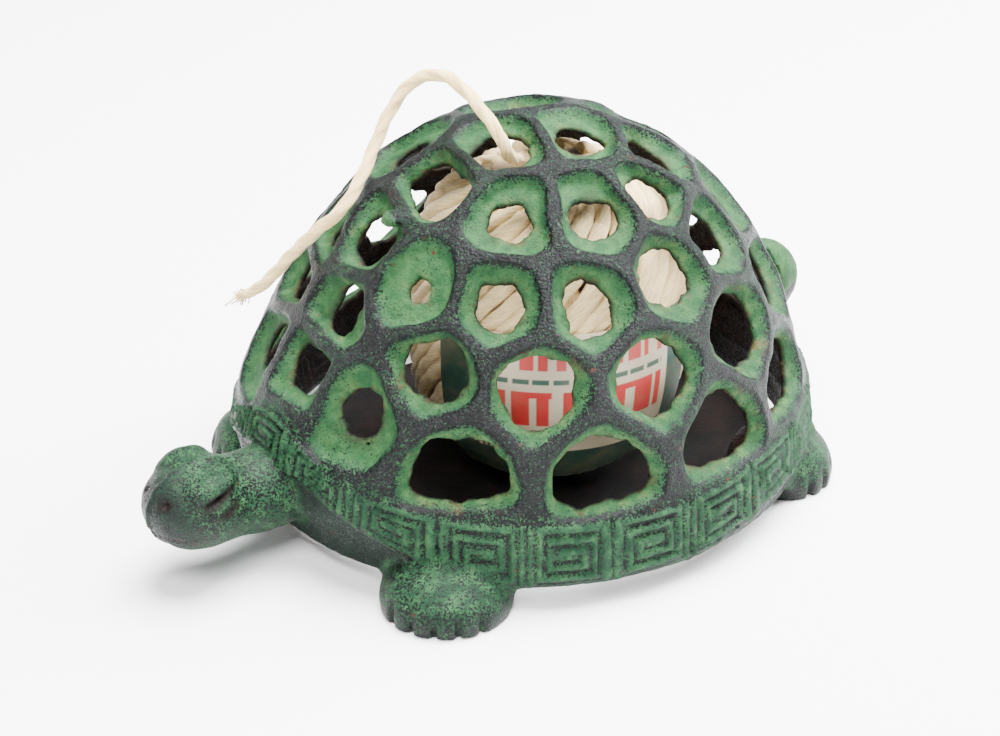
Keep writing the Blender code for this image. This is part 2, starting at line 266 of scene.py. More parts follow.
class Shader:
    """A material with one Principled BSDF, and short names for the nodes used here."""

    def __init__(self, name):
        self.material = bpy.data.materials.new(name)
        self.material.use_nodes = True
        self.tree = self.material.node_tree
        self.bsdf = self.tree.nodes["Principled BSDF"]
        self.place = self.tree.nodes.new("ShaderNodeTexCoord").outputs["Object"]

    def set(self, socket, value):
        if isinstance(value, bpy.types.NodeSocket):
            self.tree.links.new(value, self.bsdf.inputs[socket])
        else:
            self.bsdf.inputs[socket].default_value = value

    def feed(self, socket, value):
        if isinstance(value, bpy.types.NodeSocket):
            self.tree.links.new(value, socket)
        else:
            socket.default_value = value

    def noise(self, size, detail=2.0, rough=0.5, seed=0.0):
        """Noise whose features are about `size` millimetres across, 0 to 1."""
        node = self.tree.nodes.new("ShaderNodeTexNoise")
        node.noise_dimensions = "4D"
        self.tree.links.new(self.place, node.inputs["Vector"])
        node.inputs["W"].default_value = seed
        node.inputs["Scale"].default_value = 1.0 / (size * MM)
        node.inputs["Detail"].default_value = detail
        node.inputs["Roughness"].default_value = rough
        return node.outputs["Fac"]

    def field(self, name):
        node = self.tree.nodes.new("ShaderNodeAttribute")
        node.attribute_name = name
        return node.outputs["Fac"]

    def colour_field(self, name):
        node = self.tree.nodes.new("ShaderNodeAttribute")
        node.attribute_name = name
        return node.outputs["Color"]

    def math(self, operation, a, b):
        node = self.tree.nodes.new("ShaderNodeMath")
        node.operation = operation
        self.feed(node.inputs[0], a)
        self.feed(node.inputs[1], b)
        return node.outputs[0]

    def times(self, a, b):
        return self.math("MULTIPLY", a, b)

    def plus(self, a, b):
        return self.math("ADD", a, b)

    def ramp(self, value, low, high, to_low=0.0, to_high=1.0):
        """The value taken smoothly from low..high to to_low..to_high."""
        node = self.tree.nodes.new("ShaderNodeMapRange")
        node.interpolation_type = "SMOOTHSTEP"
        self.feed(node.inputs["Value"], value)
        node.inputs["From Min"].default_value = low
        node.inputs["From Max"].default_value = high
        node.inputs["To Min"].default_value = to_low
        node.inputs["To Max"].default_value = to_high
        return node.outputs["Result"]

    def mix(self, share, a, b):
        node = self.tree.nodes.new("ShaderNodeMix")
        node.data_type = "RGBA"
        self.feed(node.inputs["Factor"], share)
        self.feed(node.inputs["A"], a)
        self.feed(node.inputs["B"], b)
        return node.outputs["Result"]

    def bump(self, height, millimetres, strength=1.0, below=None):
        node = self.tree.nodes.new("ShaderNodeBump")
        node.inputs["Strength"].default_value = strength
        node.inputs["Distance"].default_value = millimetres * MM
        self.feed(node.inputs["Height"], height)
        if below is not None:
            self.tree.links.new(below, node.inputs["Normal"])
        return node.outputs["Normal"]


# ---------------------------------------------------------------- field tools


def smoothstep(low, high, value):
    t = np.clip((value - low) / (high - low), 0.0, 1.0)
    return t * t * (3.0 - 2.0 * t)


def soft_min(a, b, k):
    h = np.clip(0.5 + 0.5 * (b - a) / k, 0.0, 1.0)
    return b * (1.0 - h) + a * h - k * h * (1.0 - h)


def soft_max(a, b, k):
    return -soft_min(-a, -b, k)


LATTICE = np.random.default_rng(7).uniform(-1.0, 1.0, (32, 32, 32))


def lumps(p, size, seed=0):
    """Smooth noise, -1 to 1, with lumps about `size` millimetres apart."""
    q = p / size + 96.0 + 7.31 * seed
    i = np.floor(q).astype(np.int64)
    f = q - i
    f = f * f * (3.0 - 2.0 * f)
    out = 0.0
    for a in (0, 1):
        for b in (0, 1):
            for c in (0, 1):
                share = (f[:, 0] if a else 1 - f[:, 0]) * (f[:, 1] if b else 1 - f[:, 1])
                share = share * (f[:, 2] if c else 1 - f[:, 2])
                out = out + share * LATTICE[(i[:, 0] + a) % 32, (i[:, 1] + b) % 32, (i[:, 2] + c) % 32]
    return out


def egg(p, centre, half, turn=0.0, tilt=0.0):
    """Distance-like value of an ellipsoid, turned about Z and then tilted about X, in degrees."""
    q = p - np.array(centre, float)
    if turn:
        c, s = math.cos(math.radians(turn)), math.sin(math.radians(turn))
        q = np.stack([c * q[:, 0] + s * q[:, 1], -s * q[:, 0] + c * q[:, 1], q[:, 2]], axis=1)
    if tilt:
        c, s = math.cos(math.radians(tilt)), math.sin(math.radians(tilt))
        q = np.stack([q[:, 0], c * q[:, 1] + s * q[:, 2], -s * q[:, 1] + c * q[:, 2]], axis=1)
    half = np.array(half, float)
    k = np.linalg.norm(q / half, axis=1)
    g = np.linalg.norm(q / half**2, axis=1) + 1e-9
    return k * (k - 1.0) / g


# ---------------------------------------------------------------- cells


def dome_point(around, up):
    a, b = math.radians(around), math.radians(up)
    return CENTRE + SHELL * np.array([math.cos(b) * math.sin(a), -math.cos(b) * math.cos(a), math.sin(b)])


def band_edges(turn):
    """Heights of the patterned band's lower and upper edges at this angle round from the head."""
    front = np.maximum(np.cos(turn), 0)
    behind = smoothstep(math.radians(78), math.radians(128), np.abs(turn))
    rise = smoothstep(math.radians(50), math.radians(6), np.abs(turn))
    low = BAND_LOW - 2.3 + 21.0 * rise + 6.0 * behind
    top = BAND_TOP + 6.5 * front**3 + 9.0 * front**30 + 3.2 * behind
    return low, top


def make_cells():
    """Every cell: its centre, its own axes, its hole and the walls that it shares with its neighbours."""
    rows = list(MIDLINE_CELLS) + list(LEFT_CELLS)
    for around, up, wide, tall in LEFT_CELLS:
        around, up = RIGHT_MOVED.get((around, up), (-around, up))
        rows.append((around, up, wide, tall))
    centres = [dome_point(r[0], r[1]) for r in rows]
    cells = []
    for i, (row, centre) in enumerate(zip(rows, centres)):
        n = (centre - CENTRE) / SHELL**2
        n = n / np.linalg.norm(n)
        up = np.array([0.0, 0.0, 1.0]) if n[2] <= 0.97 else np.array([0.0, 1.0, 0.0])
        v = up - n * n.dot(up)
        v = v / np.linalg.norm(v)
        u = np.cross(v, n)
        walls = []
        for j, other in enumerate(centres):
            gap = other - centre
            length = np.linalg.norm(gap)
            if j != i and length < NEIGHBOUR_FAR:
                flat = np.array([gap.dot(u), gap.dot(v)])
                walls.append((flat / np.linalg.norm(flat), (length - RIDGE) / 2))
        turn = math.atan2(centre[0] / SHELL[0], -(centre[1] - CENTRE[1]) / SHELL[1])
        floor = None
        if centre[2] < 55:
            floor = (centre[2] - float(band_edges(turn)[1]) - 1.2) / max(v[2], 0.4)
        cell = dict(centre=centre, u=u, v=v, walls=walls, floor=floor)
        cell.update(wide=row[2], tall=row[3], key=i)
        cells.append(cell)
    return cells


CELLS = make_cells()


def cell_fields(p):
    """How deep in a bowl each point is, 0 on a ridge to 1 at a hole's edge, and its way to the hole."""
    depth = np.zeros(len(p))
    hole = np.full(len(p), 30.0)
    for cell in CELLS:
        gap = p - cell["centre"]
        near = np.flatnonzero(np.einsum("ij,ij->i", gap, gap) < CELL_FAR**2)
        if not len(near):
            continue
        q = p[near]
        gap = gap[near]
        a = gap @ cell["u"] + 0.7 * lumps(q, 6.0, 3)
        b = gap @ cell["v"] + 0.7 * lumps(q, 6.0, 4)
        rho = np.sqrt(a * a + b * b) + 1e-6
        ca, cb = a / rho, b / rho
        power = BOWL_WIDEST**-WALL_POWER * np.ones(len(q))
        for way, wall in cell["walls"]:
            facing = ca * way[0] + cb * way[1]
            ok = facing > 0.05
            power[ok] += (wall / facing[ok]) ** -WALL_POWER
        if cell["floor"] is not None:
            ok = cb < -0.05
            power[ok] += (cell["floor"] / -cb[ok]) ** -WALL_POWER
        reach = power ** (-1.0 / WALL_POWER)
        edge = np.abs(2 * ca / cell["wide"]) ** HOLE_POWER + np.abs(2 * cb / cell["tall"]) ** HOLE_POWER
        edge = edge ** (-1.0 / HOLE_POWER)
        angle = np.arctan2(cb, ca)
        k = cell["key"]
        rag = 0.05 * np.sin(3 * angle + 2.1 * k) + 0.04 * np.sin(5 * angle + 3.7 * k)
        rag += 0.022 * np.sin(11 * angle + 1.3 * k)
        edge = np.minimum(edge, reach * 0.82) * (1.0 + rag)
        edge = edge + 0.45 * lumps(q, 1.7, 5 + k % 3) * np.minimum(1.0, edge / 5.0)
        t = rho / reach
        bowl = 0.80 * smoothstep(1.10, 0.80, t)
        rim = np.clip((0.84 * reach - rho) / np.maximum(0.84 * reach - edge, 1.5), 0.0, 1.0)
        bowl += 0.22 * rim
        depth[near] = np.maximum(depth[near], bowl)
        hole[near] = np.minimum(hole[near], rho - edge)
    return depth, hole


# ---------------------------------------------------------------- band


def fret(turn, height):
    """Rectangular key pattern round the band: 0 in its grooves, 1 on its lines."""
    pitch = BAND_ROUND / FRET_PANELS
    along = (turn / (2 * math.pi) * FRET_PANELS + FRET_PHASE) % 1.0
    panel = np.floor(turn / (2 * math.pi) * FRET_PANELS + FRET_PHASE)
    s = (along - 0.5) * pitch
    flip = np.where(panel % 2 > 0, -1.0, 1.0)
    s = s * flip
    half_w = pitch / 2 - POST
    h = height - (BAND_TOP - BAND_LOW) / 2
    to_side = half_w - np.abs(s)
    to_top = HALF_PANEL - np.abs(h)
    e = np.minimum(to_side, to_top)
    shift = np.where(to_top < to_side, np.where(h > 0, 0.0, 0.5), np.where(s > 0, 0.25, 0.75))
    lines = 0.5 + 0.5 * np.cos(2 * math.pi * (e / FRET_PITCH + shift - 0.2))
    posts = 0.5 + 0.5 * np.cos(2 * math.pi * (half_w + POST - np.abs(s) - POST / 2) / POST)
    value = np.where(e > -0.3, lines, np.where(to_side < -0.3, posts, 0.35))
    return value * smoothstep(0.0, 0.9, 7.5 - np.abs(h))


# ---------------------------------------------------------------- casting


def shell_dome(p, turn):
    """Distance outside the smooth shell, which juts forward over the neck."""
    prow = np.maximum(np.cos(turn), 0) ** 3 * smoothstep(7, 22, p[:, 2]) * smoothstep(60, 30, p[:, 2])
    moved = p.copy()
    moved[:, 1] += PROW * prow
    return egg(moved, CENTRE, SHELL)


def shell_skin(p, turn, depth):
    """How far the shell's skin stands out of the dome, and the band's fields."""
    z = p[:, 2]
    low, top = band_edges(turn)
    height = z - low
    relief = fret(turn, height / (top - low) * (BAND_TOP - BAND_LOW))
    in_band = smoothstep(-0.9, 0.2, height) * (1 - smoothstep(0.0, 0.9, z - top))
    part = np.clip((z - RIM_Z) / np.maximum(low - 1.0 - RIM_Z, 0.4), 0.0, 1.0)
    skirt = -SKIRT_IN_RIM * (1 - part) - SKIRT_IN_TOP * part
    below = 1 - smoothstep(-1.3, -0.3, height)
    out = skirt * below + in_band * (BAND_OUT - BAND_SUNK + LINE_OUT * relief)
    out = out - RIM_ROUND * (1 - below) * smoothstep(RIM_Z + 3.0, RIM_Z, z)
    edge_line = np.exp(-(((z - top + 0.3) / 0.7) ** 2))
    out = out + LINE_ABOVE_BAND * edge_line * (1 - below)
    step = smoothstep(-0.7, 0.7, p[:, 0] - 9.0 - 2.6 * lumps(p, 5.0, 10)) * smoothstep(34, 14, p[:, 0])
    step = step * smoothstep(44, 52, z) * smoothstep(88, 76, z) * (p[:, 1] < 0)
    out = out - BOWL_DEPTH * depth + MISMATCH * step
    return out, dict(over_band=z - top, relief=relief, in_band=in_band, below=below)


def head_field(p):
    """Skull, neck and brows, with the mould line down their middle."""
    head = soft_min(egg(p, *SKULL), egg(p, *NECK), 3.0)
    (across, y, z), half = BROW
    for side in (-1, 1):
        head = soft_min(head, egg(p, (side * across, y, z), half, 0.0, BROW_TILT), 1.6)
    flash = np.exp(-((p[:, 0] / 0.7) ** 2)) * (p[:, 1] < -70)
    return head - FLASH * flash


def add_feet(p, body):
    """Each foot joined on, with its toe grooves cut; gives back the way to the nearest foot."""
    nearest = np.full(len(p), 30.0)
    for centre, half, out_angle in FEET:
        near = np.flatnonzero(np.abs(p - np.array(centre)).max(axis=1) < 26)
        if not len(near):
            continue
        q = p[near]
        side, way = math.copysign(1, centre[0]), math.copysign(1, centre[1])
        foot = egg(q, centre, half) + 0.25 * lumps(q, 5.0, 6)
        nearest[near] = foot
        value = soft_min(body[near], foot, 3.0)
        for angle in TOE_ANGLES:
            turn_to = math.radians(out_angle + angle * TOE_SPREAD)
            dx, dy = side * math.sin(turn_to), way * math.cos(turn_to)
            x = centre[0] + dx * (half[0] + TOE_GROOVE_OUT)
            y = centre[1] + dy * (half[1] + TOE_GROOVE_OUT)
            groove = egg(q, (x, y, TOE_GROOVE_Z), TOE_GROOVE, math.degrees(math.atan2(dy, dx)))
            value = soft_max(value, -groove, 1.2)
        body[near] = value
    return nearest


def cut_face(p, body):
    """Eyes, creases, nostrils and mouth cut into the head; gives back the way to the nearest of them."""
    marks = np.full(len(p), 9.0)
    face = np.flatnonzero(p[:, 1] < -70)
    if len(face):
        q = p[face]
        mark = egg(q, *MOUTH) + MOUTH_THIN
        for (across, y, z), half, tilt in FACE_MARKS:
            for side in (-1, 1):
                mark = np.minimum(mark, egg(q, (side * across, y, z), half, 0.0, tilt))
        mark = np.minimum(mark, 9.0)
        body[face] = soft_max(body[face], -mark, 0.8)
        marks[face] = mark
    return marks


def casting_parts(p):
    """The casting's field, negative in the metal, with the values that its paint follows."""
    z = p[:, 2]
    turn = np.arctan2(p[:, 0] / SHELL[0], -(p[:, 1] - CENTRE[1]) / SHELL[1])
    dome = shell_dome(p, turn)
    depth, hole = cell_fields(p)
    out, facts = shell_skin(p, turn, depth)
    head = head_field(p)
    outer = soft_min(dome - out, head, 1.2)
    for centre, half in SPATTER:
        outer = soft_min(outer, egg(p, centre, half) + 0.5 * lumps(p, 1.6, 9), 1.0)
    outer = soft_min(outer, egg(p, *TAIL), 5.0)
    outer = outer + (0.16 * lumps(p, 2.2, 1) + 0.28 * lumps(p, 7.0, 2))

    # the inside: the wall's thickness above, and a lip that is thicker at the front below
    front = np.maximum(np.cos(turn), 0) ** 2
    lip = smoothstep(6.5, 16.0, z)
    inner = dome - ((-5.6 - 3.5 * front) * (1 - lip) - WALL * lip)
    body = soft_max(outer, -inner, 0.6)
    body = soft_max(body, RIM_Z - z, 0.6)
    foot = add_feet(p, body)
    marks = cut_face(p, body)
    cut = np.where(np.abs(dome + 3) < 10, hole, 30.0)
    body = soft_max(body, -cut, 0.9)
    body = np.maximum(body, -z)

    # paint only: painted shade, carried from the skirt on up the neck's side where the neck meets the shell
    shade = smoothstep(-75.4, -74.0, p[:, 1] + 0.4 * lumps(p, 2.0, 8)) * smoothstep(23.5, 20.5, z)
    facts["below"] = np.maximum(facts["below"], shade * smoothstep(1.5, 0.5, head))
    facts["crest"] = 1 - smoothstep(0.02, 0.12, depth)
    facts.update(dome=dome, depth=depth, hole=hole, head=head, marks=marks, foot=foot)
    return body, facts


def casting_field(p):
    return casting_parts(p)[0]


def sample_grid(low, high, step):
    """The field on a grid; far from the metal it is left at a large positive value."""
    axes = [np.arange(a, b + step, step) for a, b in zip(low, high)]
    values = np.full([len(a) for a in axes], 9.0, np.float32)
    for start in range(0, len(axes[0]), SLAB):
        xs = axes[0][start : start + SLAB]
        block = np.stack(np.meshgrid(xs, axes[1], axes[2], indexing="ij"), axis=-1).reshape(-1, 3)
        dome = egg(block, CENTRE, SHELL)
        near = (dome > -12.0) & (dome < 3.0 + PROW * (block[:, 1] < 0))
        for centre, half in (SKULL, NECK, TAIL):
            near |= egg(block, centre, half) < 3.0
        for centre, half, _ in FEET:
            near |= egg(block, centre, half) < 4.0
        near &= block[:, 2] > -2 * step
        slab = np.full(len(block), 9.0)
        slab[near] = casting_field(block[near])
        values[start : start + SLAB] = slab.reshape(len(xs), len(axes[1]), len(axes[2]))
    return values, np.array([a[0] for a in axes])


def surface_nets(values, origin, step):
    """Quads through the zero surface of a sampled field."""
    inside = values < 0
    size = [n - 1 for n in values.shape]
    corners = [(i, j, k) for i in (0, 1) for j in (0, 1) for k in (0, 1)]
    total = np.zeros(size, np.int8)
    for i, j, k in corners:
        total += inside[i : size[0] + i, j : size[1] + j, k : size[2] + k]
    active = (total > 0) & (total < 8)
    cells = np.argwhere(active)
    index = np.full(size, -1, np.int64)
    index[active] = np.arange(len(cells))
    sums = np.zeros((len(cells), 3))
    count = np.zeros(len(cells))
    for a in corners:
        for axis in range(3):
            if a[axis]:
                continue
            b = list(a)
            b[axis] = 1
            va = values[tuple((cells + a).T)].astype(float)
            vb = values[tuple((cells + b).T)].astype(float)
            cross = (va < 0) != (vb < 0)
            t = va[cross] / (va[cross] - vb[cross])
            spot = np.repeat(np.array([a], float), len(t), axis=0)
            spot[:, axis] += t
            sums[cross] += spot
            count[cross] += 1
    points = origin + step * (cells + sums / count[:, None])
    quads = []
    for axis in range(3):
        one, two = (axis + 1) % 3, (axis + 2) % 3
        low = [slice(None)] * 3
        high = [slice(None)] * 3
        low[axis], high[axis] = slice(0, -1), slice(1, None)
        change = inside[tuple(low)] != inside[tuple(high)]
        spots = np.argwhere(change)
        keep = (spots[:, one] > 0) & (spots[:, two] > 0)
        keep &= (spots[:, one] < size[one]) & (spots[:, two] < size[two])
        spots = spots[keep]
        ring = []
        for d1, d2 in ((0, 0), (-1, 0), (-1, -1), (0, -1)):
            at = spots.copy()
            at[:, one] += d1
            at[:, two] += d2
            ring.append(index[tuple(at.T)])
        quad = np.stack(ring, axis=1)
        filled = inside[tuple(spots.T)]
        quads.append(np.where(filled[:, None], quad, quad[:, ::-1]))
    return points, np.concatenate(quads)


def pull_to_surface(points, rounds=2):
    """Newton steps along the field's slope, so detail finer than the grid is kept."""
    reach = 0.2
    for _ in range(rounds):
        value = casting_field(points)
        slope = np.empty_like(points)
        for axis in range(3):
            step = np.zeros(3)
            step[axis] = reach
            slope[:, axis] = (casting_field(points + step) - casting_field(points - step)) / (2 * reach)
        size = np.maximum(np.einsum("ij,ij->i", slope, slope), 0.15)
        move = -slope * (value / size)[:, None]
        length = np.linalg.norm(move, axis=1)
        points = points + move * np.minimum(1.0, 0.5 / np.maximum(length, 1e-6))[:, None]
        points[:, 2] = np.maximum(points[:, 2], 0.0)
    return points


def mesh_from(name, points, faces):
    mesh = bpy.data.meshes.new(name)
    mesh.vertices.add(len(points))
    mesh.vertices.foreach_set("co", (points * MM).astype(np.float32).ravel())
    sides = faces.shape[1]
    mesh.loops.add(faces.size)
    mesh.loops.foreach_set("vertex_index", faces.astype(np.int32).ravel())
    mesh.polygons.add(len(faces))
    mesh.polygons.foreach_set("loop_start", np.arange(0, faces.size, sides, dtype=np.int32))
    mesh.update(calc_edges=True)
    mesh.validate()
    mesh.shade_smooth()
    return mesh


def thin_out(obj, weights, ratio):
    """Collapse edges, most where the weight is high, and keep the result as the object's mesh."""
    group = obj.vertex_groups.new(name="thin")
    for level in (0.0, 1.0):
        group.add(np.flatnonzero(weights == level).tolist(), level, "REPLACE")
    step = obj.modifiers.new("thin", "DECIMATE")
    step.ratio = ratio
    step.vertex_group = "thin"
    step.vertex_group_factor = 1.0
    graph = bpy.context.evaluated_depsgraph_get()
    mesh = bpy.data.meshes.new_from_object(obj.evaluated_get(graph))
    obj.modifiers.clear()
    obj.vertex_groups.clear()
    obj.data = mesh
    mesh.shade_smooth()


def add_fields(mesh, fields):
    for name, values in fields.items():
        layer = mesh.attributes.new(name, "FLOAT", "POINT")
        layer.data.foreach_set("value", np.ascontiguousarray(values, dtype=np.float32))


def build_casting():
    values, origin = sample_grid(GRID_LOW, GRID_HIGH, GRID_STEP)
    points, quads = surface_nets(values, origin, GRID_STEP)
    points = pull_to_surface(points)
    _, facts = casting_parts(points)
    hidden = (facts["dome"] < -3.9) & (facts["hole"] > 1.0) & (facts["head"] > 1.0) & (points[:, 2] > 14)
    mesh = mesh_from("turtle_shell_casting", points, quads)
    turtle = bpy.data.objects.new("turtle_shell_casting", mesh)
    bpy.context.scene.collection.objects.link(turtle)
    ratio = min(1.0, MAX_TRIANGLES / (2 * len(quads)))
    thin_out(turtle, hidden.astype(float), ratio)
    mesh = turtle.data
    spots = np.empty(len(mesh.vertices) * 3)
    mesh.vertices.foreach_get("co", spots)
    spots = spots.reshape(-1, 3) / MM
    _, facts = casting_parts(spots)
    head, foot = facts["head"], facts["foot"]
    inside = smoothstep(-3.0, -4.2, facts["dome"]) * smoothstep(0.5, 2.5, head)
    inside = inside * smoothstep(3.0, 8.0, spots[:, 2])
    on_shell = smoothstep(0.3, 1.6, foot) * smoothstep(0.3, 1.6, head)
    add_fields(
        mesh,
        {
            "crest": facts["crest"] * smoothstep(0.0, 2.0, facts["over_band"]),
            "bowl": facts["depth"],
            "edge": 1 - smoothstep(0.0, 2.6, np.abs(facts["hole"])),
            "inside": inside,
            "relief": facts["relief"],
            "band": facts["in_band"] * on_shell,
            # the skirt mask carries the painted shade under the band and up the neck's side
            "skirt": facts["below"] * smoothstep(0.5, 3.0, foot) * smoothstep(0.5, 3.0, head),
            "face": 1 - smoothstep(0.0, 1.4, facts["marks"]),
            "snout": smoothstep(-88.0, -98.0, spots[:, 1]),
            "limb": np.maximum(smoothstep(1.5, 0.0, foot), smoothstep(1.5, 0.0, head)),
            "low": smoothstep(9.0, 1.0, spots[:, 2]),
        },
    )
    mesh.materials.append(verdigris_paint())
    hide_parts("turtle_casting")
    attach(turtle, "turtle")


def verdigris_paint():
    """Green paint over black iron: clean in the bowls, speckled and worn on the ridges with a painted
    highlight on their crests, rusty inside, and painted shade on the skirt under the band.
    """
    s = Shader("verdigris_over_iron")
    crest, bowl, band, limb = s.field("crest"), s.field("bowl"), s.field("band"), s.field("limb")
    edge, relief = s.field("edge"), s.field("relief")
    big = s.noise(14.0, 3.0, 0.6, 1.0)
    mid = s.noise(3.2, 3.0, 0.6, 2.0)
    grain = s.noise(0.60, 2.0, 0.7, 3.0)
    speck = s.noise(0.46, 1.0, 0.6, 4.0)

    green = s.mix(s.ramp(big, 0.35, 0.65), rgb(16, 44, 27), rgb(28, 60, 38))
    green = s.mix(s.ramp(mid, 0.4, 0.75), green, rgb(44, 80, 49))
    bowl_green = s.mix(s.ramp(mid, 0.3, 0.7), rgb(25, 62, 33), rgb(47, 80, 44))
    green = s.mix(s.times(s.ramp(bowl, 0.1, 0.7), 0.85), green, bowl_green)
    tint = s.times(edge, s.ramp(mid, 0.45, 0.7))
    green = s.mix(s.times(tint, 0.35), green, rgb(92, 94, 54))

    # where the iron shows: more on ridges, round bowls, in the pattern's grooves and low on the feet
    groove = s.times(band, s.math("SUBTRACT", 1.0, relief))
    raised = s.times(band, relief)
    ring = s.times(s.ramp(bowl, 0.0, 0.1), s.ramp(bowl, 0.12, 0.5, 1.0, 0.0))
    cover = s.plus(s.times(crest, 0.18), s.times(groove, 0.17))
    cover = s.plus(cover, s.ramp(big, 0.35, 0.75, -0.05, 0.06))
    cover = s.math("SUBTRACT", cover, s.times(s.plus(bowl, raised), 0.12))
    cover = s.plus(cover, s.times(ring, 0.11))
    foot = s.times(limb, s.times(s.field("low"), 0.12))
    cover = s.plus(cover, s.plus(foot, s.times(limb, 0.055)))
    black = s.ramp(s.plus(speck, cover), 0.53, 0.57)
    iron = s.mix(s.ramp(grain, 0.45, 0.7), rgb(3, 3, 4), rgb(13, 14, 16))
    colour = s.mix(black, green, iron)
    # the ridge crests lightened to grey: partly rubbed-bare iron, partly a painted highlight along the
    # crests
    worn_and_highlight = s.times(crest, s.ramp(s.noise(9.0, 3.0, 0.6, 5.0), 0.42, 0.62))
    colour = s.mix(s.times(worn_and_highlight, s.ramp(grain, 0.50, 0.62, 0.0, 0.7)), colour, rgb(32, 32, 36))

    # painted shade: the skirt under the band, and the neck's side next to it, coloured near-black as the
    # shade that falls there
    skirt_painted_shade = s.mix(s.ramp(mid, 0.3, 0.7), rgb(7, 13, 11), rgb(14, 22, 19))
    colour = s.mix(s.times(s.field("skirt"), 0.9), colour, skirt_painted_shade)
    snout = s.times(s.field("snout"), s.ramp(mid, 0.25, 0.6, 0.5, 1.0))
    colour = s.mix(snout, colour, rgb(14, 20, 18))
    face_dark = s.mix(s.ramp(grain, 0.4, 0.6), rgb(5, 5, 5), rgb(20, 13, 10))
    colour = s.mix(s.field("face"), colour, face_dark)
    rust_spots = s.ramp(s.noise(3.6, 4.0, 0.65, 6.0), 0.66, 0.71)
    colour = s.mix(rust_spots, colour, rgb(62, 26, 14))
    edge_rust = s.times(edge, s.ramp(s.noise(5.0, 3.0, 0.6, 8.0), 0.54, 0.64))
    colour = s.mix(s.times(edge_rust, 0.6), colour, rgb(60, 34, 20))
    bare = s.mix(s.ramp(s.noise(6.0, 4.0, 0.7, 7.0), 0.4, 0.65), rgb(6, 5, 5), rgb(30, 15, 10))
    colour = s.mix(s.field("inside"), colour, bare)

    s.set("Base Color", colour)
    s.set("Roughness", s.ramp(black, 0.0, 1.0, 0.75, 0.42))
    s.set("Specular IOR Level", 0.13)
    coarse = s.bump(s.noise(1.3, 3.0, 0.6, 9.0), 0.35, 0.6)
    fine = s.bump(grain, 0.30, 0.8, coarse)
    pits = s.times(grain, s.ramp(crest, 0.0, 1.0, 0.2, 1.0))
    s.set("Normal", s.bump(pits, 0.55, 1.0, fine))
    return s.material


# ---------------------------------------------------------------- twine


def barrel_radius(z, grow=0.0):
    half = BALL_H / 2
    part = np.minimum(1.0, np.abs((z - half) / (half + grow)))
    return (BALL_R + grow) * (1 - part**BALL_SQUARE) ** (1 / BALL_SQUARE)


def streaks(path_length, angles, radius):
    """Places in a strand's own frame, squeezed lengthways, so that noise there runs along its fibres."""
    lengthways = np.full(len(angles), 0.11 * path_length)
    return np.stack([radius * np.cos(angles), radius * np.sin(angles), lengthways], axis=1)


def tube(path, radius, sides, lobes=3, lobe_depth=0.14, pitch=8.5, start=0.0, taper=None):
    """A twisted tube round a path: ring points and quads. The lobes turn once in `pitch` millimetres."""
    path = np.asarray(path, float)
    ahead = np.gradient(path, axis=0)
    ahead = ahead / np.linalg.norm(ahead, axis=1)[:, None]
    steps = np.linalg.norm(np.diff(path, axis=0), axis=1)
    along = np.concatenate([[0.0], np.cumsum(steps)])
    side = np.cross(ahead[0], [0.31, 0.27, 0.91])
    frames = []
    for way in ahead:
        side = side - way * side.dot(way)
        side = side / np.linalg.norm(side)
        frames.append((side, np.cross(way, side)))
    angles = 2 * math.pi * np.arange(sides) / sides
    points, lay = [], []
    for i, (one, two) in enumerate(frames):
        twist = start + 2 * math.pi * along[i] / (pitch * lobes)
        grow = 1.0 if taper is None else taper[i]
        r = radius * grow * (1 - lobe_depth + 2 * lobe_depth * np.abs(np.cos(lobes * (angles - twist) / 2)))
        points.append(path[i] + np.outer(r * np.cos(angles), one) + np.outer(r * np.sin(angles), two))
        lay.append(streaks(along[i] + 50 * start, angles - twist, radius))
    count = len(path)
    quads = []
    for i in range(count - 1):
        a = i * sides + np.arange(sides)
        b = i * sides + (np.arange(sides) + 1) % sides
        quads.append(np.stack([a, b, b + sides, a + sides], axis=1))
    ends = [path[0], path[-1]]
    points = np.concatenate(points + [np.array(ends)])
    lay = np.concatenate(lay + [np.zeros((2, 3))])
    first, last = count * sides, count * sides + 1
    a = np.arange(sides)
    b = (a + 1) % sides
    base = (count - 1) * sides
    start_cap = np.stack([b, a, np.full(sides, first)], axis=1)
    end_cap = np.stack([a + base, b + base, np.full(sides, last)], axis=1)
    return points, lay, np.concatenate(quads), np.concatenate([start_cap, end_cap])


def mesh_of_tubes(name, tubes):
    points, lays, faces, shift = [], [], [], 0
    for p, lay, quads, caps in tubes:
        points.append(p)
        lays.append(lay)
        faces += (quads + shift).tolist() + (caps + shift).tolist()
        shift += len(p)
    mesh = bpy.data.meshes.new(name)
    mesh.from_pydata((np.concatenate(points) * MM).tolist(), [], faces)
    mesh.shade_smooth()
    layer = mesh.attributes.new("lay", "FLOAT_VECTOR", "POINT")
    layer.data.foreach_set("vector", np.concatenate(lays).astype(np.float32).ravel())
    obj = bpy.data.objects.new(name, mesh)
    bpy.context.scene.collection.objects.link(obj)
    return obj


def cotton(name, light, dark):
    s = Shader(name)
    node = s.tree.nodes.new("ShaderNodeTexNoise")
    lay = s.tree.nodes.new("ShaderNodeAttribute")
    lay.attribute_name = "lay"
    s.tree.links.new(lay.outputs["Vector"], node.inputs["Vector"])
    node.inputs["Scale"].default_value = 2.6
    node.inputs["Detail"].default_value = 4.0
    node.inputs["Roughness"].default_value = 0.65
    fibre = node.outputs["Fac"]
    soft = s.noise(5.0, 2.0, 0.5, 2.0)
    colour = s.mix(s.ramp(fibre, 0.3, 0.7), dark, light)
    colour = s.mix(s.ramp(soft, 0.4, 0.8, 0.0, 0.35), colour, rgb(190, 162, 112))
    s.set("Base Color", colour)
    s.set("Roughness", 0.92)
    s.set("Specular IOR Level", 0.2)
    s.set("Sheen Weight", 0.3)
    s.set("Sheen Roughness", 0.5)
    s.set("Normal", s.bump(fibre, 0.45, 0.8))
    return s.material


